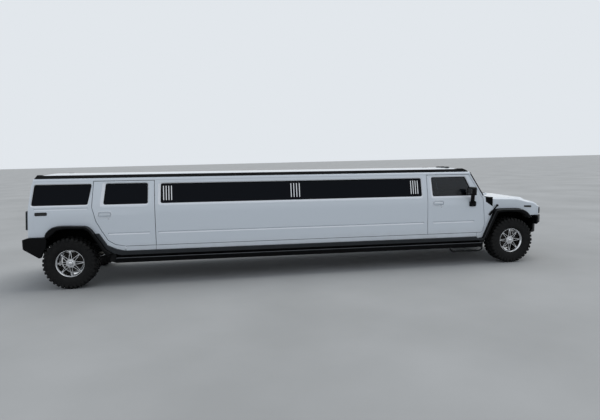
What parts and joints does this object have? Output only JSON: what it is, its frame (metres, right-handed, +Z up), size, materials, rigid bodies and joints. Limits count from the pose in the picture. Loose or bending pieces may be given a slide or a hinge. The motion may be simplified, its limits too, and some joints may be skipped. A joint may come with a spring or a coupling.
{
  "type": "stretch limousine",
  "caption": "White stretched off-road wagon limousine with a tilting hood, side doors, liftgate, steered front wheels and a dark-glazed lounge between its axles.",
  "frame": {"origin": "on the road, under the middle of the vehicle's overall box", "axes": "+X forward, +Y to the vehicle's left, +Z up"},
  "size_m": [9.7657, 2.3866, 1.9466],
  "materials": {
    "white_paint": "gloss",
    "black_plastic": "satin",
    "chassis_black": "matte",
    "cast_metal": "matte",
    "bare_metal": "satin",
    "chrome": "polished",
    "dark_glass": "polished",
    "clear_glass": "polished",
    "lamp_glass": "polished",
    "red_lens": "gloss",
    "amber_lens": "gloss",
    "tyre_rubber": "matte",
    "black_leather": "satin",
    "trim_plastic": "matte"
  },
  "bodies": {
    "chassis": {"frame": "chassis_black", "cross_members": "chassis_black", "floor": "chassis_black", "wheelhouses": "black_plastic", "roof": "white_paint", "stretch_sides": "white_paint", "rear_quarters": "white_paint", "tail_frame": "white_paint", "fender_panels": "white_paint", "cowl": "black_plastic", "windscreen_frame": "white_paint", "windscreen": "clear_glass", "fixed_glass": "dark_glass", "window_bars": "chrome", "roof_rails": "black_plastic", "front_panel": "white_paint", "grille": "chrome", "headlamps": "lamp_glass", "tail_lamps": "red_lens", "front_bumper": "black_plastic", "rear_bumper": "black_plastic", "flares": "black_plastic", "side_cladding": "black_plastic", "running_boards": "black_plastic", "engine": "cast_metal", "driveshaft": "chassis_black", "exhaust": "bare_metal", "fuel_tank": "trim_plastic", "rear_axle": "cast_metal", "front_suspension": "cast_metal", "front_seats": "black_leather", "dashboard": "trim_plastic", "partition": "trim_plastic", "lounge_seats": "black_leather", "roof_lamps": "amber_lens", "hood_straps": "tyre_rubber"},
    "hood": {"hood": "white_paint"},
    "liftgate": {"liftgate": "white_paint", "liftgate_glass": "dark_glass"},
    "steering_wheel": {"steering_wheel": "trim_plastic"},
    "front_door_left": {"front_door_left": "white_paint", "front_door_glass_left": "clear_glass", "mirror_left": "black_plastic"},
    "rear_door_left": {"rear_door_left": "white_paint", "rear_door_glass_left": "dark_glass"},
    "knuckle_left": {"knuckle_left": "cast_metal"},
    "front_wheel_left": {"front_rim_left": "chrome", "front_tyre_left": "tyre_rubber"},
    "rear_wheel_left": {"rear_rim_left": "chrome", "rear_tyre_left": "tyre_rubber"},
    "front_door_right": {"front_door_right": "white_paint", "front_door_glass_right": "clear_glass", "mirror_right": "black_plastic"},
    "rear_door_right": {"rear_door_right": "white_paint", "rear_door_glass_right": "dark_glass"},
    "knuckle_right": {"knuckle_right": "cast_metal"},
    "front_wheel_right": {"front_rim_right": "chrome", "front_tyre_right": "tyre_rubber"},
    "rear_wheel_right": {"rear_rim_right": "chrome", "rear_tyre_right": "tyre_rubber"}
  },
  "joints": [
    {"name": "hood_tilt", "type": "hinge", "parent": "chassis", "child": "hood", "pos_m": [4.71879, 0, 1.0804], "axis": [0, 1, 0], "range_deg": [0, 65]},
    {"name": "liftgate_lift", "type": "hinge", "parent": "chassis", "child": "liftgate", "pos_m": [-4.68693, 0, 1.77694], "axis": [0, 1, 0], "range_deg": [0, 85]},
    {"name": "front_door_left_swing", "type": "hinge", "parent": "chassis", "child": "front_door_left", "pos_m": [3.45598, 0.957, 1.10563], "axis": [-0.0105, 0, -0.9999], "range_deg": [0, 65]},
    {"name": "rear_door_left_swing", "type": "hinge", "parent": "chassis", "child": "rear_door_left", "pos_m": [-2.70968, 0.957, 1.1702], "axis": [-0.0105, 0, -0.9999], "range_deg": [0, 65]},
    {"name": "front_wheel_left_spin", "type": "hinge", "parent": "knuckle_left", "child": "front_wheel_left", "pos_m": [3.99, 0.8815, 0.436], "axis": [0, 1, 0], "continuous": true},
    {"name": "rear_wheel_left_spin", "type": "hinge", "parent": "chassis", "child": "rear_wheel_left", "pos_m": [-4.13, 0.8815, 0.436], "axis": [0, 1, 0], "continuous": true},
    {"name": "front_door_right_swing", "type": "hinge", "parent": "chassis", "child": "front_door_right", "pos_m": [3.45598, -0.957, 1.10563], "axis": [0.0105, 0, 0.9999], "range_deg": [0, 65]},
    {"name": "rear_door_right_swing", "type": "hinge", "parent": "chassis", "child": "rear_door_right", "pos_m": [-2.70968, -0.957, 1.1702], "axis": [0.0105, 0, 0.9999], "range_deg": [0, 65]},
    {"name": "front_wheel_right_spin", "type": "hinge", "parent": "knuckle_right", "child": "front_wheel_right", "pos_m": [3.99, -0.8815, 0.436], "axis": [0, 1, 0], "continuous": true},
    {"name": "rear_wheel_right_spin", "type": "hinge", "parent": "chassis", "child": "rear_wheel_right", "pos_m": [-4.13, -0.8815, 0.436], "axis": [0, 1, 0], "continuous": true},
    {"name": "steer_left", "type": "hinge", "parent": "chassis", "child": "knuckle_left", "pos_m": [3.99, 0.79, 0.436], "axis": [0, 0, 1], "range_deg": [-30, 30]},
    {"name": "steer_right", "type": "hinge", "parent": "chassis", "child": "knuckle_right", "pos_m": [3.99, -0.79, 0.436], "axis": [0, 0, 1], "range_deg": [-30, 30]},
    {"name": "steering_wheel_turn", "type": "hinge", "parent": "chassis", "child": "steering_wheel", "pos_m": [2.963, 0.43, 1.2058], "axis": [-0.878, 0, 0.4787], "range_deg": [-480, 480]}
  ],
  "couplings": [
    {"joint": "steer_right", "follows": "steer_left", "ratio": 1},
    {"joint": "steering_wheel_turn", "follows": "steer_left", "ratio": 16}
  ]
}
